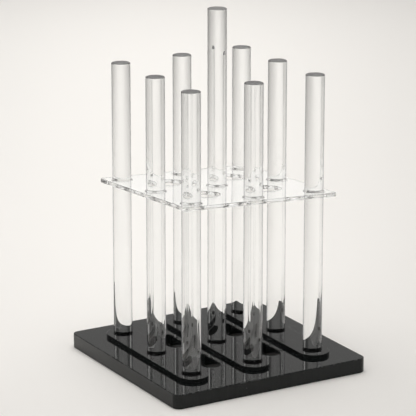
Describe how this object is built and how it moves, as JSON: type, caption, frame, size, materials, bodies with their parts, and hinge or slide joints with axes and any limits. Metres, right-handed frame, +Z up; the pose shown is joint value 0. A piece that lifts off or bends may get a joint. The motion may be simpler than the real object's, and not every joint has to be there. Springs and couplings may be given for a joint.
{
  "type": "chip rack",
  "caption": "Free-standing chip rack: clear upright rods on a black base fence off chip columns; a taller rod is the handle, and a clear keeper plate slides on the rods.",
  "frame": {"origin": "middle of the base's underside, on the table", "axes": "+X to the rack's right, -Y to its front, +Z up along the rods; the black strips run along Y"},
  "size_m": [0.138, 0.138, 0.2283],
  "materials": {
    "black_acrylic": "polished black cast acrylic",
    "clear_rod": "clear cast acrylic rod, polished",
    "clear_sheet": "clear cast acrylic sheet, polished faces"
  },
  "bodies": {
    "rack": {"base_plate": "black_acrylic", "left_strip": "black_acrylic", "middle_strip": "black_acrylic", "right_strip": "black_acrylic", "left_front_rod": "clear_rod", "left_middle_rod": "clear_rod", "left_back_rod": "clear_rod", "middle_front_rod": "clear_rod", "middle_back_rod": "clear_rod", "right_front_rod": "clear_rod", "right_middle_rod": "clear_rod", "right_back_rod": "clear_rod", "handle_rod": "clear_rod"},
    "keeper": {"keeper_plate": "clear_sheet"}
  },
  "joints": [
    {"name": "keeper_slide", "type": "slide", "parent": "rack", "child": "keeper", "axis": [0, 0, 1], "range_m": [-0.0937, 0.0683]}
  ]
}
